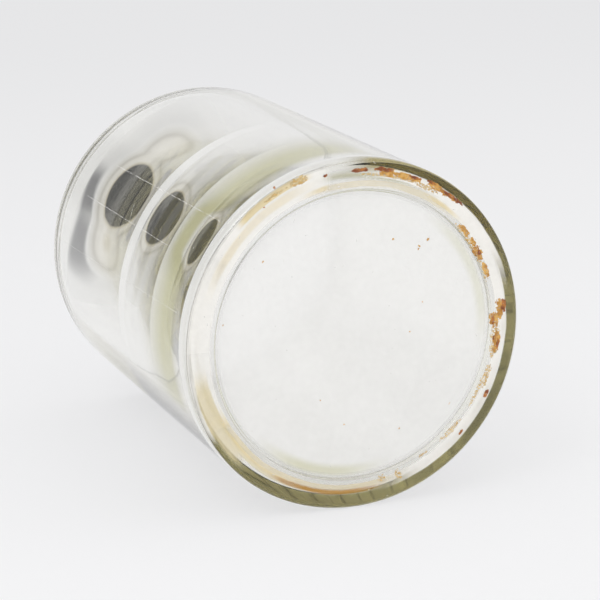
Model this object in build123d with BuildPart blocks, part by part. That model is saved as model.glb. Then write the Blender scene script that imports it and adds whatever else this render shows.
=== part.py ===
from build123d import *
import os

# Specimen jar: a straight cylinder of thick blown glass with a heavy base and a flat
# ground rim, closed by a loose glass cover whose spigot centres it in the mouth.
# Millimetres, +Z up, origin at the centre of the ring that the jar stands on.

# Driving dimensions: jar
jar_diameter = 120.0
body_height = 152.0
wall_thickness = 4.2  # at the rim
wall_taper = 0.9  # how much thinner the wall is at the floor
floor_thickness = 3.8  # at the centre, above the recess
floor_crown = 1.8  # how far the inside falls from the centre to its corner
floor_corner_round = 4.5
heel_round = 1.8
rim_round = 0.8

# Driving dimensions: recess moulded into the underside
standing_ring_width = 10.0  # from the recess out to the side of the jar
recess_depth = 1.6
recess_crown = 0.6  # how much deeper it is at the centre
recess_draft = 0.9  # how far its side leans in over its depth
recess_round = 0.7

# Driving dimensions: cover
cover_thickness = 4.5
cover_edge_round = 3.5
spigot_depth = 4.0
spigot_lead_in = 1.0
spigot_clearance = 0.35  # radial gap between the spigot and the mouth

# Sizes that follow from them
jar_radius = jar_diameter / 2
mouth_radius = jar_radius - wall_thickness
recess_radius = jar_radius - standing_ring_width
recess_centre_height = recess_depth + recess_crown
floor_centre_height = recess_centre_height + floor_thickness
spigot_radius = mouth_radius - spigot_clearance


def make_jar():
    """One piece of glass: its half section, drawn in X and Z, turned about the axis."""
    recess_root = (recess_radius - recess_draft, recess_depth)
    recess_lip = (recess_radius, 0)
    heel = (jar_radius, 0)
    rim_outside = (jar_radius, body_height)
    rim_inside = (mouth_radius, body_height)
    floor_corner = (mouth_radius + wall_taper, floor_centre_height - floor_crown)
    rounds = {
        recess_root: recess_round,
        recess_lip: recess_round,
        heel: heel_round,
        rim_outside: rim_round,
        rim_inside: rim_round,
        floor_corner: floor_corner_round,
    }
    with BuildPart() as jar:
        with BuildSketch(Plane.XZ) as section:
            with BuildLine():
                TangentArc((0, recess_centre_height), recess_root, tangent=(1, 0))
                Polyline(recess_root, recess_lip, heel, rim_outside, rim_inside, floor_corner)
                TangentArc((0, floor_centre_height), floor_corner, tangent=(1, 0))
                Line((0, floor_centre_height), (0, recess_centre_height))
            make_face()
            for corner, radius in rounds.items():
                fillet(section.vertices().sort_by_distance(corner)[0], radius)
        revolve(axis=Axis.Z)
    return jar


def make_cover():
    """A round plate on the rim, with a spigot that hangs a little way into the mouth."""
    with BuildPart() as cover:
        with BuildSketch(Plane.XY.offset(body_height)):
            Circle(jar_radius)
        extrude(amount=cover_thickness)
        plate_top = cover.faces().sort_by(Axis.Z)[-1]
        fillet(plate_top.edges(), cover_edge_round)
        with BuildSketch(Plane.XY.offset(body_height)):
            Circle(spigot_radius)
        extrude(amount=-spigot_depth)
        spigot_end = cover.faces().sort_by(Axis.Z)[0]
        chamfer(spigot_end.edges(), spigot_lead_in)
    return cover


os.makedirs("parts", exist_ok=True)

jar = make_jar()
jar.part.label = "jar"
export_step(jar.part, "parts/jar.step")

cover = make_cover()
cover.part.label = "cover"
export_step(cover.part, "parts/cover.step")
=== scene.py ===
# %% [markdown]
# # A specimen jar in old clear glass
# The jar is one piece of thick glass: a straight cylinder, a heavy base with a round recess
# moulded into its underside, and a rim that was cut and ground flat. A loose glass cover
# closes it. Glass is drawn by what it bends and keeps, so most of this lesson is about the
# shape of the inside wall, the tint deep in the glass, and the rust and lime left on the base.
#
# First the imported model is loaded. It is the fixed frame: sizes are read from it, in metres.

import math
import random

import bmesh
import bpy
from mathutils import Matrix, Vector, noise


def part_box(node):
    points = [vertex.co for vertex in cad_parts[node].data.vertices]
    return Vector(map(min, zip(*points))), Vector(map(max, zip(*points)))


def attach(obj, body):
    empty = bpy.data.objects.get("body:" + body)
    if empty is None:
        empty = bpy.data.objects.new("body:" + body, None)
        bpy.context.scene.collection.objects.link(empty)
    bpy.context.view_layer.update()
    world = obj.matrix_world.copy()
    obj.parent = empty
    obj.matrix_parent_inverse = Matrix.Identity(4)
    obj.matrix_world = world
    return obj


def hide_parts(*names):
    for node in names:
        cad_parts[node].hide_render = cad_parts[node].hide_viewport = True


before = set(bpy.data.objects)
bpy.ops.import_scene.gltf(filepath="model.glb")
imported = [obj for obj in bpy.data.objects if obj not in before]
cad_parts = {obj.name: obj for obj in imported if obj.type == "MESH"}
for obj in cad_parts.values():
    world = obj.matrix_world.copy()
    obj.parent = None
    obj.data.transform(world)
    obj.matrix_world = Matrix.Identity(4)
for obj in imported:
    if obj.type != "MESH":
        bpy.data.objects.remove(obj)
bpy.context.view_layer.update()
jar_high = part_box("jar")[1]
jar_radius = jar_high.x
rim_height = jar_high.z
top_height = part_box("cover")[1].z
print("jar", round(jar_radius * 2, 4), "across,", round(rim_height, 4), "high;",
      "with cover", round(top_height, 4))

# %% [markdown]
# ## Shader maths as plain expressions
# A material is a tree of nodes. Wiring each Math node by hand hides what the tree says, so
# one small class wraps a socket and lets + - * / and ** add the Math nodes. Every other
# node comes from a single method that sets the node's settings first and its sockets next.

# %% A socket that can be calculated with
class Value:
    """One output socket of a finish. Arithmetic on it adds Math nodes."""

    def __init__(self, finish, socket):
        self.finish, self.socket = finish, socket

    def math(self, operation, other=None, swapped=False):
        pair = [self] if other is None else [other, self] if swapped else [self, other]
        return self.finish.node("ShaderNodeMath", {"operation": operation}, dict(enumerate(pair)))

    def __add__(self, other): return self.math("ADD", other)
    def __sub__(self, other): return self.math("SUBTRACT", other)
    def __rsub__(self, other): return self.math("SUBTRACT", other, swapped=True)
    def __mul__(self, other): return self.math("MULTIPLY", other)
    def __truediv__(self, other): return self.math("DIVIDE", other)
    def __pow__(self, other): return self.math("POWER", other)
    __radd__, __rmul__ = __add__, __mul__

    def larger(self, other): return self.math("MAXIMUM", other)
    def smaller(self, other): return self.math("MINIMUM", other)
    def size(self): return self.math("ABSOLUTE")


class Finish:
    """A material, or the world, and the nodes in it."""

    def __init__(self, owner):
        self.owner = owner
        owner.use_nodes = True
        self.tree = owner.node_tree
        self.tree.nodes.clear()

    def node(self, kind, settings=None, sockets=None, output=0):
        """Adds one node: its settings first, then the values or links of its sockets."""
        made = self.tree.nodes.new(kind)
        for name, setting in (settings or {}).items():
            if name == "stops":
                self.set_stops(made.color_ramp, setting)
            else:
                setattr(made, name, setting)
        for name, given in (sockets or {}).items():
            if isinstance(given, Value):
                self.tree.links.new(given.socket, made.inputs[name])
            else:
                made.inputs[name].default_value = given
        return Value(self, made.outputs[output]) if made.outputs else None

    @staticmethod
    def set_stops(ramp, stops):
        while len(ramp.elements) < len(stops):
            ramp.elements.new(1.0)
        for element, (place, colour) in zip(ramp.elements, stops):
            element.position = place
            element.color = colour

    def ramp(self, value, stops):
        return self.node("ShaderNodeValToRGB", {"stops": stops}, {0: value})

    def step(self, value, low, high):
        """0 below low, 1 above high, and smooth between."""
        limits = {"Value": value, "From Min": low, "From Max": high}
        return self.node("ShaderNodeMapRange", {"interpolation_type": "SMOOTHSTEP"}, limits)

    def fall(self, value, low, high):
        """1 below low, 0 above high, and smooth between."""
        return 1 - self.step(value, low, high)

    def window(self, value, rise_from, rise_to, fall_from, fall_to):
        """0 outside a stretch of the value, 1 inside it, and smooth at both ends."""
        return self.step(value, rise_from, rise_to) * self.fall(value, fall_from, fall_to)

    def noise(self, place, scale, detail=2.0, rough=0.5):
        sockets = {"Vector": place, "Scale": scale, "Detail": detail, "Roughness": rough}
        return self.node("ShaderNodeTexNoise", None, sockets)

    def blend(self, share, first, second):
        """A colour that goes from first to second."""
        settings = {"data_type": "RGBA"}
        return self.node("ShaderNodeMix", settings, {0: share, 6: first, 7: second}, output=2)

    def mix_shaders(self, share, first, second):
        return self.node("ShaderNodeMixShader", None, {0: share, 1: first, 2: second})

    def dot(self, value, direction):
        """How far a place or direction lies along another."""
        settings = {"operation": "DOT_PRODUCT"}
        return self.node("ShaderNodeVectorMath", settings, {0: value, 1: direction}, output=1)

    def object_place(self):
        """The place on the piece, then its x, y and z, all in metres."""
        place = self.node("ShaderNodeTexCoord", output=3)
        xyz = [self.node("ShaderNodeSeparateXYZ", None, {0: place}, output=k) for k in range(3)]
        return place, *xyz

    def show(self, surface, depth=None):
        sockets = {"Surface": surface}
        if depth:
            sockets["Volume"] = depth
        self.node("ShaderNodeOutputMaterial", None, sockets)


def new_finish(name):
    return Finish(bpy.data.materials.new(name))


def strongest(shares):
    """The largest of several values, point by point."""
    found = shares[0]
    for share in shares[1:]:
        found = found.larger(share)
    return found


def radius_of(x, y):
    return (x * x + y * y) ** 0.5


def turn_of(x, y):
    """The turn about the axis in degrees, from -180 to 180."""
    return y.math("ARCTAN2", x) * (180 / math.pi)


white = (1, 1, 1, 1)
print("shader helpers ready")

# %% [markdown]
# ## The stage
# The jar lies on its side on a white sweep, and the camera looks at its base from low down.
# In this frame the jar stands upright, so the surface that it lies on is the upright plane
# that touches its side. Seen from behind that plane is clear, so it hides the jar from no
# side. Its tone is painted a little lighter near the camera, which is painted light on the
# sweep. What is looked at, straight or in glass, is mostly its own even tone, and the rest
# is lit, which keeps the jar's shadow.
#
# A second floor under the foot is there for the upright views only: nothing but a direct
# look from above finds it.

# %% Floor
pale = (0.815, 0.815, 0.825, 1.0)
# pale_near is painted light: the sweep's tone is lighter near the camera.
pale_near = (0.925, 0.925, 0.935, 1.0)
nearest, farthest = -0.35, 1.2
glow_share = 0.7
floor_gap = 0.0001
floor_reach = 4.0


def make_sheet(name, corners, material):
    mesh = bpy.data.meshes.new(name)
    mesh.from_pydata(corners, [], [range(len(corners))])
    mesh.materials.append(material)
    sheet = bpy.data.objects.new(name, mesh)
    bpy.context.scene.collection.objects.link(sheet)


def rays_that_see(finish):
    """Three values: 1 for a ray from the camera, for a mirrored one, and for a bent one."""
    return [finish.node("ShaderNodeLightPath", output=k) for k in (0, 3, 6)]


sweep_finish = new_finish("sweep")
facing_away = sweep_finish.node("ShaderNodeNewGeometry", output=6)
sweep_spot = sweep_finish.node("ShaderNodeNewGeometry", output=0)
sweep_height = sweep_finish.node("ShaderNodeSeparateXYZ", None, {0: sweep_spot}, output=2)
# Painted light: the tone goes from lighter near the camera to pale further off.
far_share = sweep_finish.step(sweep_height, nearest, farthest)
sweep_tone = sweep_finish.blend(far_share, pale_near, pale)
sweep_front = sweep_finish.node("ShaderNodeBsdfDiffuse", None, {"Color": sweep_tone})
sweep_glow = sweep_finish.node(
    "ShaderNodeEmission", None, {"Color": sweep_tone, "Strength": 1.0})
looked_at = strongest(rays_that_see(sweep_finish))
sweep_lit = sweep_finish.mix_shaders(looked_at * glow_share, sweep_front, sweep_glow)
see_through = sweep_finish.node("ShaderNodeBsdfTransparent")
sweep_finish.show(sweep_finish.mix_shaders(facing_away, sweep_lit, see_through))

side = jar_radius + floor_gap
make_sheet(
    "sweep",
    [(-floor_reach, side, -floor_reach), (floor_reach, side, -floor_reach),
     (floor_reach, side, floor_reach), (-floor_reach, side, floor_reach)],
    sweep_finish.owner,
)

foot_finish = new_finish("foot_floor")
from_below = foot_finish.node("ShaderNodeNewGeometry", output=6)
direct_look = foot_finish.node("ShaderNodeLightPath", output=0)
foot_front = foot_finish.node("ShaderNodeBsdfDiffuse", None, {"Color": pale})
foot_clear = foot_finish.node("ShaderNodeBsdfTransparent")
foot_finish.show(
    foot_finish.mix_shaders(direct_look * (1 - from_below), foot_clear, foot_front))
make_sheet(
    "foot_floor",
    [(-floor_reach, -floor_reach, -floor_gap), (floor_reach, -floor_reach, -floor_gap),
     (floor_reach, floor_reach, -floor_gap), (-floor_reach, floor_reach, -floor_gap)],
    foot_finish.owner,
)
print("sweep at y =", round(side, 4))

# %% [markdown]
# ## Room and lamp
# The world lights the jar evenly from all round, and one square lamp adds light from one
# side. What is seen of the world has the sweep's tone. Mirrored rays alone find one darker corner
# in it. Without that corner the gloss on the wall is pale all over, and the dark shapes
# behind it come out a good deal lighter.

# %% World and lamp
world_light = 0.90
corner_tone = (0.34, 0.34, 0.34, 1)
corner_toward = Vector((-0.36, -0.25, 0.90)).normalized()
corner_outer, corner_inner = math.radians(17), math.radians(7)

world = bpy.data.worlds.new("studio")
bpy.context.scene.world = world
sky = Finish(world)
seen_rays = rays_that_see(sky)
mirrored_ray = seen_rays[1]
looking = sky.node("ShaderNodeTexCoord", output=0)
toward = sky.dot(looking, corner_toward)
corner_share = sky.step(toward, math.cos(corner_outer), math.cos(corner_inner)) * mirrored_ray
sky_tone = sky.blend(corner_share, pale, corner_tone)
sky_seen = sky.node("ShaderNodeBackground", None, {"Color": sky_tone, "Strength": 1.0})
sky_light = sky.node("ShaderNodeBackground", None, {"Color": white, "Strength": world_light})
sky_shown = sky.mix_shaders(strongest(seen_rays), sky_light, sky_seen)
sky.node("ShaderNodeOutputWorld", None, {"Surface": sky_shown})


def make_softbox(name, place, size, glow):
    """A square lamp that faces the jar. Its glow is how bright it looks."""
    lamp = bpy.data.lights.new(name, "AREA")
    lamp.size = size
    lamp.energy = glow * math.pi * size ** 2
    holder = bpy.data.objects.new(name, lamp)
    holder.location = place
    holder.rotation_mode = "QUATERNION"
    aim = Vector((0, 0, rim_height / 2)) - Vector(place)
    holder.rotation_quaternion = aim.to_track_quat("-Z", "Y")
    bpy.context.scene.collection.objects.link(holder)


make_softbox("softbox_left", (-0.75, -1.0, -0.45), 0.5, 3.0)
print("world light", world_light)

# %% [markdown]
# ## A dark thing across the room
# Clear glass shows the room bent by its walls. Here a dark oval lamp head, well behind the
# mouth of the jar, is what the swells of the wall show as dark ovals: take it away and they
# are gone. The camera can't see it, and it casts no shadow, but rays that were bent or
# mirrored by glass can find it.
#
# From the middle out it is dark, cream, pale, grey and pale again. Further out, on one
# side, it has a grey brim, which the wall shows as a grey arc.

# %% The dark lamp head
lamp_head_place = Vector((0.253, 0.214, 5.84)) * jar_radius
lamp_head_short = Vector((0.819, 0.574, 0)) * 0.42 * jar_radius
lamp_head_long = Vector((-0.574, 0.819, 0)) * 0.60 * jar_radius
lamp_head_sides = 96
head_glow_reach = 1.6
head_dark = (0.004, 0.003, 0.003, 1)
brim_tone = (0.20, 0.20, 0.215, 1)
brim_flatness = 1.69
brim_strength, brim_all_round = 0.90, 0.08

head_finish = new_finish("lamp_head")
head_spot = head_finish.node("ShaderNodeNewGeometry", output=0)
from_middle = head_finish.node(
    "ShaderNodeVectorMath", {"operation": "SUBTRACT"}, {0: head_spot, 1: lamp_head_place})
along = head_finish.dot(from_middle, lamp_head_short / lamp_head_short.length_squared)
across = head_finish.dot(from_middle, lamp_head_long / lamp_head_long.length_squared)
out_share = (along * along + across * across) ** 0.5
head_tone = head_finish.ramp(out_share, [
    (0.0, head_dark), (0.60, head_dark), (0.64, (0.62, 0.57, 0.46, 1)),
    (0.69, (0.80, 0.78, 0.74, 1)), (0.77, (0.76, 0.74, 0.70, 1)),
    (0.83, (0.56, 0.54, 0.50, 1)), (0.90, (0.73, 0.72, 0.70, 1)), (1.0, pale),
])
flat_out = (along * along + across * across * brim_flatness) ** 0.5
brim = head_finish.window(flat_out, 1.0, 1.12, 1.28, 1.5)
brim = brim * head_finish.step(out_share, 0.97, 1.05)
brim_side = head_finish.step(along, 0.2, 0.9) * head_finish.step(across, -0.22, 0.04)
brim_side = brim_side * head_finish.fall(across, 0.27, 0.62)
brim_share = brim * (brim_side * brim_strength + brim_all_round)
head_tone = head_finish.blend(brim_share, head_tone, brim_tone)
head_glow = head_finish.node("ShaderNodeEmission", None, {"Color": head_tone})
head_clear = head_finish.node("ShaderNodeBsdfTransparent")
head_mirrored, head_bent = rays_that_see(head_finish)[1:]
head_finish.show(
    head_finish.mix_shaders(head_mirrored.larger(head_bent), head_clear, head_glow))

head_corners = []
for i in range(lamp_head_sides):
    turn = 2 * math.pi * i / lamp_head_sides
    arm = lamp_head_short * math.cos(turn) + lamp_head_long * math.sin(turn)
    head_corners.append(tuple(lamp_head_place + arm * head_glow_reach))
make_sheet("lamp_head", head_corners, head_finish.owner)
print("lamp head", round(lamp_head_long.length * 2, 3), "across at",
      tuple(round(v, 3) for v in lamp_head_place))

# %% [markdown]
# ## The camera
# A long lens from low down in front of the base. Its place is worked out in jar radii, and
# its three directions are those of the picture: right, up, and the way it looks. The focal
# length is given in pixels of a picture that is 600 wide.

# %% Camera
camera_place = Vector((-4.921, -3.466, -11.501)) * jar_radius
camera_right = Vector((0.9291, -0.0026, -0.3698))
camera_up = Vector((0.0908, -0.9678, 0.2351))
camera_look = Vector((0.3585, 0.2519, 0.8989))
sensor_width = 36.0
focal_pixels = 2346
picture_pixels = 600
lens = bpy.data.cameras.new("camera")
lens.sensor_width = sensor_width
lens.lens = sensor_width * focal_pixels / picture_pixels
camera = bpy.data.objects.new("camera", lens)
bpy.context.scene.collection.objects.link(camera)
camera.matrix_world = Matrix((
    (camera_right.x, camera_up.x, -camera_look.x, camera_place.x),
    (camera_right.y, camera_up.y, -camera_look.y, camera_place.y),
    (camera_right.z, camera_up.z, -camera_look.z, camera_place.z),
    (0, 0, 0, 1),
))
bpy.context.scene.camera = camera
print("camera", round(camera_place.length, 3), "m away, lens", round(lens.lens, 1))

# %% [markdown]
# ## Turning a section
# Both pieces are round, so each is made as on a lathe: a half section of points, turned
# about the axis. The helper rounds the corners of a section. The lathe asks a function
# where each point goes, so the inside can be uneven all the way round, as blown glass is.

# %% Section and lathe helpers
def rounded(corners, steps=8):
    """Turns (r, z, radius) corners into points, with an arc at each corner with a radius."""
    points = []
    for i, (r, z, radius) in enumerate(corners):
        here = Vector((r, z))
        if not radius:
            points.append(here)
            continue
        before = (Vector(corners[i - 1][:2]) - here).normalized()
        after = (Vector(corners[i + 1][:2]) - here).normalized()
        half = before.angle(after) / 2
        start = here + before * (radius / math.tan(half))
        end = here + after * (radius / math.tan(half))
        middle = here + (before + after).normalized() * (radius / math.sin(half))
        sweep = (start - middle).angle_signed(end - middle)
        for k in range(steps + 1):
            turned = Matrix.Rotation(-sweep * k / steps, 2) @ (start - middle)
            points.append(middle + turned)
    return points


def spread(points, longest):
    """Adds points so that no run is longer than asked."""
    result = [points[0]]
    for a, b in zip(points, points[1:]):
        parts = max(1, math.ceil((b - a).length / longest))
        result += [a.lerp(b, k / parts) for k in range(1, parts + 1)]
    return result


def make_piece(name, shape, material=None):
    """Makes an object of a finished bmesh and puts it in the scene."""
    mesh = bpy.data.meshes.new(name)
    shape.to_mesh(mesh)
    shape.free()
    if material:
        mesh.materials.append(material)
    piece = bpy.data.objects.new(name, mesh)
    bpy.context.scene.collection.objects.link(piece)
    return piece


def stay(index, turn, r, z):
    """A point of a section that stays where it is."""
    return r, z


def turn_section(name, rings, sides, place=stay):
    """A closed solid turned from rings of (r, z). The first and last lie on the axis."""
    shape = bmesh.new()
    made = []
    for index, (r, z) in enumerate(rings):
        if r < 1e-9:
            made.append([shape.verts.new((0, 0, place(index, 0, 0, z)[1]))])
            continue
        ring = []
        for i in range(sides):
            turn = 2 * math.pi * i / sides
            radius, height = place(index, turn, r, z)
            spot_there = (radius * math.cos(turn), radius * math.sin(turn), height)
            ring.append(shape.verts.new(spot_there))
        made.append(ring)
    for low, high in zip(made, made[1:]):
        for i in range(sides):
            j = (i + 1) % sides
            if len(low) == 1:
                shape.faces.new((low[0], high[j], high[i]))
            elif len(high) == 1:
                shape.faces.new((low[i], low[j], high[0]))
            else:
                shape.faces.new((low[i], low[j], high[j], high[i]))
    bmesh.ops.recalc_face_normals(shape, faces=shape.faces)
    piece = make_piece(name, shape)
    for face in piece.data.polygons:
        face.use_smooth = True
    return piece


print("lathe helpers ready")

# %% [markdown]
# ## The jar's wall
# The outside is the mould's. The inside never touched a mould. On most of the jar the wall
# is 2.9 to 3.7 mm thick, thicker on one side. On the front it swells as it rises, from 4.2
# to 6.5 mm, and thins again towards the rim.
#
# Where the thickness changes with height, the wall is a weak prism, and a slope of a few
# hundredths is enough to bring something from across the room into view. So the swells are
# given as slopes. There are three stretches where the slope falls steadily, with a jump
# back up before the second and third, so one dark thing is seen three times.

# %% How thick the wall is
# How fast the wall thickens with height, at heights in jar radii: on the front of the jar,
# where the glass ran most, and on the rest of it.
front_slopes = [
    (0.145, 0.0690), (0.176, 0.0642), (0.267, 0.0569), (0.358, 0.0465), (0.400, 0.0390),
    (0.401, -0.0100), (0.645, -0.0100),
    (0.646, 0.0605), (0.720, 0.0560), (0.820, 0.0508), (0.920, 0.0445), (1.020, 0.0368),
    (1.105, 0.0270), (1.145, 0.0136),
    (1.146, -0.1000), (1.240, -0.1000),
    (1.241, 0.0525), (1.310, 0.0465), (1.470, 0.0377), (1.630, 0.0268), (1.790, 0.0122),
    (1.910, -0.0020), (2.010, -0.0160), (2.110, -0.0320), (2.220, -0.0480), (2.310, -0.0720),
    (2.350, -0.1500), (2.480, -0.1500),
    (2.481, 0.0420), (2.750, 0.0420),
]
rest_slopes = [(0.15, 0.0), (2.75, 0.0)]
table_top = 2.75
table_step = 0.002
thinnest = 0.055
front_turn = math.radians(215)
front_reach = math.radians(58)
front_fade = math.radians(43)
ring_lean = 0.006
ring_lean_turn = math.radians(110)


def smooth(x):
    x = min(1.0, max(0.0, x))
    return x * x * (3 - 2 * x)


def between(stops, x):
    """The straight runs through the stops, at x."""
    if x <= stops[0][0]:
        return stops[0][1]
    for (x0, y0), (x1, y1) in zip(stops, stops[1:]):
        if x <= x1:
            return y0 + (y1 - y0) * (x - x0) / (x1 - x0)
    return stops[-1][1]


def add_up(slopes):
    """Wall thickness at every table step, in jar radii."""
    thickness, table = thinnest, []
    for k in range(round(table_top / table_step) + 2):
        table.append(thickness)
        thickness += between(slopes, (k + 0.5) * table_step) * table_step
    return table


front_wall, rest_wall = add_up(front_slopes), add_up(rest_slopes)


def read_off(table, height):
    """The wall in a table at a height in jar radii."""
    place = min(max(0.0, height / table_step), len(table) - 1.001)
    k = int(place)
    return table[k] + (table[k + 1] - table[k]) * (place - k)


def wall_at(height, turn):
    """How thick the wall is at a height and a turn, in metres."""
    height /= jar_radius
    aside = (turn - front_turn + math.pi) % (2 * math.pi) - math.pi
    front, rest = read_off(front_wall, height), read_off(rest_wall, height)
    rest += ring_lean * math.cos(turn - ring_lean_turn)
    front_share = smooth((front_reach - abs(aside)) / front_fade)
    return (rest + (front - rest) * front_share) * jar_radius


print("front wall up to", round(max(front_wall), 3), "radii, the rest", round(rest_wall[0], 3))

# %% [markdown]
# ## The jar's section
# Up the outside: the crowned recess, the flat standing ring, the rounded heel, the straight
# side and the ground rim. Down the inside: an even throat under the rim, the wall, the
# round corner and a floor that is thickest in the middle. The swells begin below the
# throat, so a small ledge is left there, 3 mm under the rim.

# %% Sizes of the jar
wall = 0.0042
heel_round = 0.0018
rim_round = 0.0008
throat = 0.003
ring_inner = 0.050
recess_depth = 0.0016
recess_crown = 0.0006
recess_draft = 0.0009
recess_round = 0.0007
floor_thickness = 0.0038
floor_crown = 0.0018
corner_round = 0.0045
corner_steps = 24
dish_reach, dish_lift = 0.7, 0.51
dish_steps = 40
crown_steps = 12
outside_run, inside_run = 0.004, 0.0007

recess_root = (ring_inner - recess_draft, recess_depth)
inner_radius = jar_radius - wall
floor_centre = recess_depth + recess_crown + floor_thickness
floor_edge = floor_centre - floor_crown
throat_low = rim_height - throat

crown = []
for k in range(crown_steps):
    share = k / crown_steps
    crown_height = recess_root[1] + recess_crown * (1 - share ** 2)
    crown.append(Vector((recess_root[0] * share, crown_height)))
outside = rounded([
    (crown[-1].x, crown[-1].y, 0), (*recess_root, recess_round),
    (ring_inner, 0, recess_round), (jar_radius, 0, heel_round),
    (jar_radius, rim_height, rim_round), (inner_radius, rim_height, rim_round),
    (inner_radius, throat_low, 0),
])
outside = crown + spread(outside[1:], outside_run)
inside = rounded([
    (inner_radius, throat_low, 0), (inner_radius, floor_edge, corner_round),
    (inner_radius * dish_reach, floor_edge + floor_crown * dish_lift, 0),
], steps=corner_steps)
inside = spread(inside, inside_run)
dish = []
for k in range(dish_steps, -1, -1):
    share = dish_reach * k / dish_steps
    dish.append(Vector((inner_radius * share, floor_centre - floor_crown * share ** 2)))
inside = inside[:-1] + dish[1:]
section = [(p.x, p.y) for p in outside] + [(p.x, p.y) for p in inside[1:]]
section[0] = (0.0, section[0][1])
section[-1] = (0.0, section[-1][1])
first_inside = len(outside)
print(len(section), "rings,", first_inside, "of them outside")

# %% [markdown]
# ## Turning the jar
# The inside rings are moved as they are turned: the wall by its swells, and the floor by a
# few broad low waves, because the glass of the floor settled as it cooled.

# %% The jar
jar_sides = 320
floor_wave = 0.00018
# Each wave: its share, how fast it runs along x and y, and where it starts.
floor_waves = [(1.0, 5.1, 2.3, 0.4), (1.0, -3.2, 4.7, 1.9), (0.6, 8.3, -6.1, 2.2)]


def settle(index, turn, r, z):
    """Where a point of the section goes at this turn."""
    if index < first_inside:
        return r, z
    lean = smooth((z - floor_edge) / corner_round)
    radius = r - (wall_at(z, turn) - wall) * lean
    flat = 1 - smooth((z - floor_edge) / (corner_round * 0.5))
    x, y = r * math.cos(turn) / jar_radius, r * math.sin(turn) / jar_radius
    wave = sum(share * math.sin(a * x + b * y + c) for share, a, b, c in floor_waves)
    return radius, z + flat * wave * floor_wave


jar = turn_section("jar_glass", section, jar_sides, settle)
print("jar_glass", len(jar.data.polygons), "faces")

# %% [markdown]
# ## The glass: tint and painted shade
# Old bottle glass is almost clear in a thin wall and olive where light runs a long way
# through it. That is a property of the inside, so the tint is an absorbing volume. Handling
# leaves a faint bloom that roughens the polish here and there.
#
# Two places are darker than the volume makes them, and this is painted shade in the surface
# colour. A soft olive band low on the inside of the wall, which narrows at the front, stands
# in for the olive that light trapped in a thick swell takes on, and parts of the ring at the
# heel are painted darker. Real swells steep enough to turn olive would be the other way to
# get the band, but they also threw dark marks into it.

# %% Tint, polish and painted shade
clear_tint = (0.54, 0.49, 0.09, 1.0)
tint_density = 14.0
glass_bending = 1.52
bloom_rough = 0.035
# Painted shade: the olive band low on the inner wall.
band_painted_shade = (0.37, 0.35, 0.115, 1)
# Painted shade: darker olive on two stretches of the heel ring.
heel_painted_shade = (0.27, 0.21, 0.06, 1)
front_degrees = 215
band_wobble = 0.10

glass = new_finish("old_glass_with_painted_shade")
spot, spot_x, spot_y, spot_z = glass.object_place()
bloom = glass.step(glass.noise(spot, 38.0, 4.0, 0.6), 0.58, 0.72)
polish = bloom * bloom_rough
spot_radius = radius_of(spot_x, spot_y)
spot_turn = turn_of(spot_x, spot_y)
aside = (spot_turn + (360 - front_degrees)).size()
aside = aside.smaller(360 - aside)
near_front = glass.fall(aside, 6.0, 15.0)

# Where the band of olive painted shade lies on the inner wall.
wobble = (glass.noise(spot, 9.0, 1.0) - 0.5) * band_wobble
height = spot_z / jar_radius + wobble
band = glass.window(
    height, near_front * 0.17 + 0.16, near_front * 0.16 + 0.30,
    0.40 + near_front * 0.12, 0.90 - near_front * 0.15)
band = band * glass.fall(spot_radius, 0.955 * jar_radius, 0.965 * jar_radius)
band = band * glass.fall(aside, 72.0, 98.0)
glass_painted_tone = glass.blend(band, white, band_painted_shade)

# Painted shade: the heel ring is painted darker olive on two stretches of its turn.
shaded_turns = glass.window(spot_turn, -98.0, -84.0, -42.0, 4.0)
shaded_turns = shaded_turns.larger(glass.window(spot_turn, 66.0, 104.0, 124.0, 142.0) * 0.35)
heel_shade_share = shaded_turns * glass.step(spot_radius, 0.925 * jar_radius, 0.935 * jar_radius)
heel_shade_share = heel_shade_share * glass.fall(spot_z, 0.0030, 0.0060)
glass_painted_tone = glass.blend(heel_shade_share, glass_painted_tone, heel_painted_shade)


def clear_glass(tone, rough):
    return glass.node("ShaderNodeBsdfPrincipled", None, {
        "Base Color": tone, "Roughness": rough, "IOR": glass_bending,
        "Transmission Weight": 1.0,
    })


glass_surface = clear_glass(glass_painted_tone, polish)
print("glass tint", clear_tint[:3], "density", tint_density)

# %% [markdown]
# ## The glass: what use has left on it
# Three things are laid over that surface with Mix Shaders. The inner floor has a thin film
# that blurs what is seen through it. The recess has a coat of lime, thicker in patches,
# with two olive crescents near its edge. The rim is ground, so it is rough and pale.

# %% Film, lime and ground rim
film_patches = glass.noise(spot, 55.0, 3.0, 0.6)
on_floor = glass.window(
    spot_z, 0.0030, 0.0034, floor_centre + 0.0004, floor_centre + 0.0012)
on_floor = on_floor * glass.fall(spot_radius, jar_radius - 0.0014, jar_radius - 0.0008)
floor_film = clear_glass(white, 0.16 + film_patches * 0.10)
glass_surface = glass.mix_shaders(on_floor, glass_surface, floor_film)

lime_white = (0.955, 0.95, 0.93, 1)
lime_olive = (0.74, 0.73, 0.52, 1)
crescents = glass.window(spot_turn, 70.0, 100.0, 112.0, 140.0)
crescents = crescents.larger(glass.window(spot_turn, -60.0, -35.0, -10.0, 14.0) * 0.6)
crescents = crescents * glass.step(spot_radius, 0.730 * jar_radius, 0.780 * jar_radius)
lime_tone = glass.blend(crescents, lime_white, lime_olive)
lime = glass.node("ShaderNodeBsdfPrincipled", None, {"Base Color": lime_tone, "Roughness": 0.6})
in_recess = glass.fall(spot_radius, 0.79 * jar_radius, 0.824 * jar_radius)
in_recess = in_recess * glass.fall(spot_z, 0.0026, 0.0030)
lime_share = in_recess * (0.48 + film_patches * 0.40)
glass_surface = glass.mix_shaders(lime_share, glass_surface, lime)

ground_rough = 0.45
on_rim = glass.step(spot_z, rim_height - 0.0007, rim_height - 0.0002)
glass_surface = glass.mix_shaders(on_rim, glass_surface, clear_glass(white, ground_rough))

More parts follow.
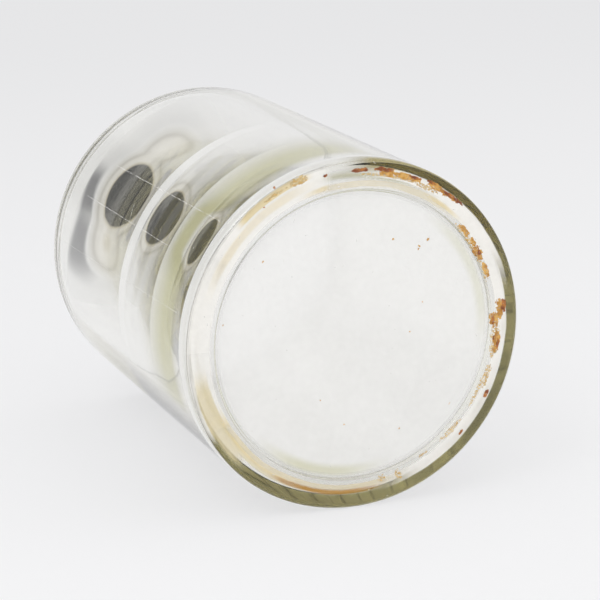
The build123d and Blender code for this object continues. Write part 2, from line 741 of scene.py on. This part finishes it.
glass_depth = glass.node(
    "ShaderNodeVolumeAbsorption", None, {"Color": clear_tint, "Density": tint_density})
glass.show(glass_surface, glass_depth)
jar.data.materials.append(glass.owner)
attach(jar, "jar")
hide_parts("jar")
print("old_glass_with_painted_shade has", len(glass.tree.nodes), "nodes")

# %% [markdown]
# ## Rust on the base
# The jar stood for years on a metal shelf, so its standing ring has islands of rust scale.
# Scale has a ragged edge and stands a little off the glass, so it is made as small cells:
# the ring is ruled into a fine polar grid, and a cell is kept where an island plus a little
# noise is high enough. Layers that overlap get different lifts, because faces at the same
# height render black.

# %% Laying scale in cells
grid_turn = 0.25
grid_step = 0.0002
corner_stray = 0.35
kept_above = 0.12
fine_share = 0.4


def base_height(r):
    """Height of the jar's underside at a radius, in metres."""
    past = r - (jar_radius - heel_round)
    if past > 0:
        return heel_round - math.sqrt(max(0.0, heel_round ** 2 - past ** 2))
    if r >= ring_inner:
        return 0.0
    if r >= recess_root[0]:
        return recess_depth * (ring_inner - r) / recess_draft
    return recess_depth + recess_crown * (1 - (r / recess_root[0]) ** 2)


def lay_cells(name, islands, material, seed, ragged=0.9, lift=0.00003):
    """Scale in the shape of islands of (from turn, to turn, from radius, to radius)."""
    shape = bmesh.new()
    corners = {}
    shuffle = random.Random(seed)

    def corner(i, j):
        if (i, j) not in corners:
            turn = math.radians((i + shuffle.uniform(-corner_stray, corner_stray)) * grid_turn)
            r = (j + shuffle.uniform(-corner_stray, corner_stray)) * grid_step
            height = base_height(r) - lift
            corners[i, j] = shape.verts.new((r * math.cos(turn), r * math.sin(turn), height))
        return corners[i, j]

    def island_height(i, j, first, last, low, high):
        """Above zero near the middle of an island, with a ragged fall at its edge."""
        along = ((i + 0.5) * grid_turn - first) / (last - first) * 2 - 1
        across = ((j + 0.5) * grid_step - low) / (high - low) * 2 - 1
        ragged_at = noise.noise(Vector((i * 0.16, j * 0.30, seed * 7.7)))
        fine_at = noise.noise(Vector((i * 0.5, j * 0.8, seed * 3.1)))
        return 1 - along ** 2 - across ** 2 + ragged * ragged_at + fine_share * fine_at

    for first, last, low, high in islands:
        low, high = low * jar_radius, high * jar_radius
        for i in range(math.floor(first / grid_turn), math.ceil(last / grid_turn)):
            for j in range(math.floor(low / grid_step), math.ceil(high / grid_step)):
                if island_height(i, j, first, last, low, high) < kept_above:
                    continue
                cell = [corner(i, j), corner(i + 1, j), corner(i + 1, j + 1), corner(i, j + 1)]
                if not shape.faces.get(cell):
                    shape.faces.new(cell)
    bmesh.ops.recalc_face_normals(shape, faces=shape.faces)
    for face in shape.faces:
        if face.normal.z > 0:
            face.normal_flip()
    piece = make_piece(name, shape, material)
    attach(piece, "jar")
    print(name, len(piece.data.polygons), "cells")


# %% [markdown]
# ## Rust finishes
# Rust is never one colour: it goes from dark red-brown where it is thick to orange and tan
# where it is a stain. One recipe gives three finishes from two colours each. Noise blends
# the two, thins the scale through Alpha, and raises the surface a little through a Bump.

# %% Rust finishes
patch_scale, grain_scale = 420.0, 1500.0


def make_scale_finish(name, dark, light, bare_below, full_above):
    finish = new_finish(name)
    place = finish.node("ShaderNodeTexCoord", output=3)
    patches = finish.noise(place, patch_scale, 4.0, 0.6)
    grains = finish.noise(place, grain_scale, 3.0, 0.6)
    tone = finish.blend(finish.step(patches, 0.40, 0.62), dark, light)
    raised = finish.node(
        "ShaderNodeBump", None, {"Strength": 0.5, "Distance": 0.0002, "Height": grains})
    surface = finish.node("ShaderNodeBsdfPrincipled", None, {
        "Base Color": tone, "Roughness": 0.75 + grains * 0.2, "Normal": raised,
        "Alpha": finish.step(grains, bare_below, full_above),
    })
    finish.show(surface)
    return finish.owner


rust_thick = make_scale_finish(
    "rust_thick", (0.24, 0.07, 0.028, 1), (0.52, 0.20, 0.05, 1), 0.30, 0.44)
rust_orange = make_scale_finish(
    "rust_orange", (0.50, 0.23, 0.045, 1), (0.74, 0.43, 0.12, 1), 0.28, 0.46)
rust_pale = make_scale_finish(
    "rust_pale", (0.62, 0.40, 0.14, 1), (0.78, 0.58, 0.28, 1), 0.36, 0.62)
print("three rust finishes")

# %% [markdown]
# ## Rust islands
# Three layers: a pale stain next to the glass, orange scale over it, and small thick
# crusts outermost.
# An island is given by the turns in degrees and the radii, in jar radii, that it spans.

# %% Rust islands
lay_cells("rust_scale_orange", [
    (-83, -75, 0.908, 0.956), (-78, -66, 0.912, 0.946), (-64, -55, 0.925, 0.958),
    (-62, -50, 0.920, 0.945), (-43.5, -37, 0.834, 0.872), (-36.5, -32, 0.838, 0.868),
    (-33, -26, 0.826, 0.872), (-25, -18.5, 0.832, 0.866), (-9, -1, 0.862, 0.912),
    (-5, 2, 0.824, 0.876), (3, 12, 0.850, 0.896), (-2, 1, 0.826, 0.860),
], rust_orange, 1)
lay_cells("rust_scale_thick", [
    (-92.5, -86, 0.928, 0.952), (-84, -77, 0.934, 0.958), (-71, -66, 0.928, 0.948),
    (-64, -60, 0.940, 0.957), (-57, -47.5, 0.929, 0.950), (-8.5, -3.5, 0.892, 0.926),
    (-3, 1, 0.830, 0.850), (6, 10, 0.872, 0.892), (25.3, 28.6, 0.896, 0.918),
    (42.5, 45.2, 0.898, 0.914), (-102.6, -100.8, 0.934, 0.950), (5, 7, 0.846, 0.860),
    (-30.5, -28, 0.846, 0.866), (-119.0, -118.2, 0.992, 1.0), (-125.4, -124.7, 0.94, 0.952),
], rust_thick, 2, lift=0.00005)
lay_cells("rust_stain_pale", [
    (-114, -107.5, 0.944, 0.992), (-124, -115, 0.958, 0.975), (16, 26, 0.836, 0.884),
    (22, 35, 0.836, 0.858), (40, 52, 0.834, 0.864), (71, 73.5, 0.842, 0.905),
    (77.5, 80.5, 0.838, 0.884), (-90, -60, 0.905, 0.925), (-1, 14, 0.832, 0.888),
    (58, 63, 0.834, 0.850), (-46, -17, 0.826, 0.850), (-68, -58, 0.898, 0.925),
], rust_pale, 3, 1.2, lift=0.00002)

# %% [markdown]
# ## Washed films
# Under the islands lies a thin film: tan where rust was washed along the ring, orange where
# a pool dried, cream and white elsewhere. It is one strip of mesh that follows the ring,
# and the finish decides how much of it shows by turn, radius and noise.

# %% The strip
strip_sides = 360


def lay_strip(name, low, high, material, steps, lift=0.00001):
    """A strip all round the base between two radii, just under the glass."""
    shape = bmesh.new()
    loops = []
    for j in range(steps + 1):
        r = jar_radius * (low + (high - low) * j / steps)
        z = base_height(r) - lift
        turns = [math.radians(t) for t in range(strip_sides)]
        loops.append([shape.verts.new((r * math.cos(t), r * math.sin(t), z)) for t in turns])
    for inner, outer in zip(loops, loops[1:]):
        for i in range(strip_sides):
            j = (i + 1) % strip_sides
            shape.faces.new((inner[i], inner[j], outer[j], outer[i]))
    bmesh.ops.recalc_face_normals(shape, faces=shape.faces)
    piece = make_piece(name, shape, material)
    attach(piece, "jar")
    return piece


films = new_finish("washed_film")
film_spot, film_x, film_y = films.object_place()[:3]
film_turn = turn_of(film_x, film_y)
film_ragged = films.noise(film_spot, 60.0, 4.0, 0.6) - 0.5
film_radius = radius_of(film_x, film_y) / jar_radius + film_ragged * 0.02


def patch(turns, radii, strength, fade=8.0, soft=0.012, fade_out=None):
    """As strong as asked inside a patch of the ring, and fading at its edges."""
    fade_out = fade_out or fade
    along = films.window(
        film_turn, turns[0], turns[0] + fade, turns[1] - fade_out, turns[1])
    across = films.window(film_radius, radii[0], radii[0] + soft, radii[1] - soft, radii[1])
    return along * across * strength


print("patches are given by turns in degrees and radii in jar radii")

# %% [markdown]
# ## Where each film lies
# Tan patches add up, because washing ran over the same places again. Of the others the
# strongest one shows. Then each colour is painted over the last.

# %% Films
tan_share = patch((-168, -98), (0.878, 0.952), 0.21, 22.0, 0.024)
tan_share = tan_share + patch((-118, -38), (0.834, 0.896), 0.42, 20.0, 0.020)
tan_share = tan_share + patch((-138, -104), (0.945, 0.992), 0.50, 8.0)
tan_share = tan_share + patch((62, 165), (0.846, 0.905), 0.55, 24.0, 0.018)
cream_share = strongest([
    patch((100, 160), (0.872, 0.922), 0.8, 18.0, 0.014),
    patch((133, 179), (0.872, 0.976), 0.72, 9.0, 0.024, 30.0),
])
orange_share = patch((70, 132), (0.876, 0.920), 1.1, 26.0, 0.018)
white_share = strongest([
    patch((-75, 84), (0.856, 0.930), 0.95, 25.0, 0.010),
    patch((-92, -10), (0.890, 0.956), 0.95, 16.0, 0.010),
    patch((-186, -98), (0.850, 0.999), 0.92, 6.0, 0.014),
    patch((146, 186), (0.850, 0.999), 0.78, 6.0, 0.014),
])
film_white = (0.95, 0.93, 0.88, 1)
film_cream = (0.78, 0.68, 0.44, 1)
film_tan = (0.82, 0.68, 0.38, 1)
film_orange = (0.50, 0.27, 0.06, 1)
film_tone = films.blend(films.step(cream_share, 0.0, 0.3), film_white, film_cream)
film_tone = films.blend(films.step(tan_share, 0.0, 0.45), film_tone, film_tan)
film_tone = films.blend(films.step(orange_share, 0.1, 0.6), film_tone, film_orange)
film_cover = strongest([tan_share, cream_share, orange_share, white_share])
film_cover = film_cover * (0.95 + film_ragged * 0.8)
films.show(films.node("ShaderNodeBsdfPrincipled", None, {
    "Base Color": film_tone, "Roughness": 0.6 + film_ragged * 0.2,
    "Alpha": film_cover.larger(0.0).smaller(1.0),
}))
film_strip = lay_strip("washed_film", 0.832, 0.992, films.owner, 20)
print("washed_film", len(film_strip.data.polygons), "faces")

# %% [markdown]
# ## Scratches and nicks
# Two long scratches run up the front of the wall with a short one between them, and a
# fainter one lies beside them, where the jar was slid in and out of a rack. Handling has
# left short nicks all over. Each is a shallow ridge of crushed glass: a strip with a raised
# middle that follows the wall or the base.

# %% Helpers for marks
crushed = new_finish("crushed_glass")
crushed_spot = crushed.node("ShaderNodeTexCoord", output=3)
crushed_grain = crushed.noise(crushed_spot, 900.0, 3.0, 0.6)
crushed.show(crushed.node("ShaderNodeBsdfPrincipled", None, {
    "Base Color": (0.86, 0.85, 0.82, 1), "Roughness": 0.5 + crushed_grain * 0.3,
    "Alpha": crushed.step(crushed_grain, 0.36, 0.60) * 0.75,
}))
ridge_height = 0.00003
mark_lift = 0.00001


def lay_ridges(name, paths, width, material):
    """Thin raised strips along paths of points, each point with its outward direction."""
    shape = bmesh.new()
    for path in paths:
        rows = []
        for k, (point, outward) in enumerate(path):
            following, previous = path[min(k + 1, len(path) - 1)][0], path[max(k - 1, 0)][0]
            onward = (following - previous).normalized()
            across = onward.cross(outward).normalized() * width / 2
            middle = point + outward * ridge_height
            rows.append([shape.verts.new(p) for p in (point - across, middle, point + across)])
        for low, high in zip(rows, rows[1:]):
            shape.faces.new((low[0], low[1], high[1], high[0]))
            shape.faces.new((low[1], low[2], high[2], high[1]))
    bmesh.ops.recalc_face_normals(shape, faces=shape.faces)
    piece = make_piece(name, shape, material)
    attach(piece, "jar")
    print(name, len(paths), "marks")


def on_wall(turn, height):
    outward = Vector((math.cos(math.radians(turn)), math.sin(math.radians(turn)), 0))
    return outward * (jar_radius + mark_lift) + Vector((0, 0, height * jar_radius)), outward


def on_base(turn, radius):
    r, turn = radius * jar_radius, math.radians(turn)
    spot_there = Vector((r * math.cos(turn), r * math.sin(turn), base_height(r) - mark_lift))
    return spot_there, Vector((0, 0, -1))


def run(place, first, last, steps, shuffle, stray):
    """Points from one pair of numbers to another, straying a little on the way."""
    points = []
    for k in range(steps + 1):
        share = k / steps
        turn = first[0] + (last[0] - first[0]) * share + shuffle.uniform(-stray, stray)
        points.append(place(turn, first[1] + (last[1] - first[1]) * share))
    return points


print("helpers for marks ready")

# %% [markdown]
# ## Laying the marks
# The long scratches are placed by turn and height. The nicks are scattered by a fixed
# shuffle: over the whole wall, more of them on the front, and over the base.

# %% Scratches and nicks
hand = random.Random(11)
lay_ridges("long_scratches", [
    run(on_wall, (206.3, 2.12), (207.5, 0.55), 50, hand, 0.06),
    run(on_wall, (220.8, 1.95), (222.9, 0.06), 60, hand, 0.06),
    run(on_wall, (213.0, 1.36), (207.2, 1.30), 12, hand, 0.05),
], 0.00024, crushed.owner)
lay_ridges("faint_scratch", [
    run(on_wall, (186.7, 2.32), (190.9, 0.15), 60, hand, 0.03),
], 0.00016, crushed.owner)


def nick(place, turn, reach, most_turn, most_reach):
    """A short mark that starts here and goes a little way in any direction."""
    end_turn = turn + hand.uniform(-most_turn, most_turn)
    end = (end_turn, reach + hand.uniform(-most_reach, most_reach))
    return run(place, (turn, reach), end, 2, hand, 0.05)


nicks = []
for k in range(150):
    turn, height_there = hand.uniform(0, 360), hand.uniform(0.15, 2.4)
    nicks.append(nick(on_wall, turn, height_there, 0.5, 0.012))
for k in range(26):
    turn, height_there = hand.uniform(203, 226), hand.uniform(0.15, 2.0)
    nicks.append(nick(on_wall, turn, height_there, 0.7, 0.010))
for k in range(60):
    turn, radius_there = hand.uniform(0, 360), 0.98 * hand.random() ** 0.5
    nicks.append(nick(on_base, turn, radius_there, 1.2, 0.012))
lay_ridges("nicks", nicks, 0.00022, crushed.owner)

# %% [markdown]
# ## Specks in the recess
# A dozen crumbs of rust are scattered over the recess. They are cells as the islands are,
# only a degree or two long and less ragged.

# %% Specks in the recess
lay_cells("rust_specks", [
    (1.2, 2.8, 0.335, 0.348), (-67.2, -65.8, 0.570, 0.584), (-49.8, -48.4, 0.668, 0.682),
    (-50.6, -49.6, 0.592, 0.606), (-51.5, -49.9, 0.612, 0.622), (118.6, 119.8, 0.402, 0.410),
    (-139.5, -138.5, 0.71, 0.718), (63.2, 64.2, 0.634, 0.642), (-170.5, -169.6, 0.78, 0.788),
    (37.3, 38.2, 0.745, 0.752), (95.6, 96.5, 0.51, 0.517), (-20.8, -19.6, 0.44, 0.447),
], rust_orange, 5, 0.5)

# %% [markdown]
# ## The cover
# A round plate of clear glass with a shallow spigot that finds the mouth, ground a little
# on the spigot's side and underneath near its edge. The plate's edge is softly rounded so
# that it can be lifted without a chip.
#
# Its glass bends light less than real glass does, 1.40 in place of 1.52. That is a choice
# for the look: it makes the thin dark lines at the rim a little lighter.

# %% The cover
spigot_clearance = 0.00035
spigot_radius = inner_radius - spigot_clearance
spigot_depth = 0.004
spigot_lead_in = 0.001
spigot_low = rim_height - spigot_depth
spigot_round = 0.0003
cover_edge = 0.0035
cover_radius = jar_radius - 0.0001
under_edge = 0.0002
seat_gap = 0.00002
cover_seat = rim_height + seat_gap
cover_sides = 256
cover_corners = [
    (0, spigot_low, 0), (spigot_radius - spigot_lead_in, spigot_low, spigot_round),
    (spigot_radius, spigot_low + spigot_lead_in, spigot_round),
    (spigot_radius, cover_seat, 0), (cover_radius, cover_seat, under_edge),
    (cover_radius, top_height, cover_edge), (0, top_height, 0),
]
cover_points = spread(rounded(cover_corners), 0.002)
cover = turn_section("cover_glass", [(p.x, p.y) for p in cover_points], cover_sides)

cover_bending = 1.40
cover_tint = (0.70, 0.68, 0.50, 1)
cover_density = 2.0
marks_rough, spigot_rough = 0.03, 0.25
cover_glass = new_finish("cover_glass_finish")
cover_spot, cover_x, cover_y, cover_z = cover_glass.object_place()
cover_marks = cover_glass.step(cover_glass.noise(cover_spot, 44.0, 4.0, 0.6), 0.60, 0.74)
ground_low = cover_glass.fall(cover_z, rim_height + 0.0002, rim_height + 0.0006)
ground_low = ground_low * cover_glass.step(
    radius_of(cover_x, cover_y), 0.86 * jar_radius, 0.89 * jar_radius)
cover_surface = cover_glass.node("ShaderNodeBsdfPrincipled", None, {
    "Base Color": white, "Roughness": cover_marks * marks_rough + ground_low * spigot_rough,
    "IOR": cover_bending, "Transmission Weight": 1.0,
})
cover_depth = cover_glass.node(
    "ShaderNodeVolumeAbsorption", None, {"Color": cover_tint, "Density": cover_density})
cover_glass.show(cover_surface, cover_depth)
cover.data.materials.append(cover_glass.owner)
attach(cover, "cover")
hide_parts("cover")
print("cover_glass", len(cover.data.polygons), "faces")

# %% [markdown]
# ## Light paths
# Light in a thick base is turned back many times before it gets out. With few bounces those
# places render black, so the number is raised for glass.

# %% Bounces
cycles = bpy.context.scene.cycles
cycles.max_bounces = 32
cycles.transmission_bounces = 32
cycles.glossy_bounces = 24
cycles.transparent_max_bounces = 16
bpy.context.scene.view_settings.view_transform = "Standard"
print("bounces", cycles.max_bounces)
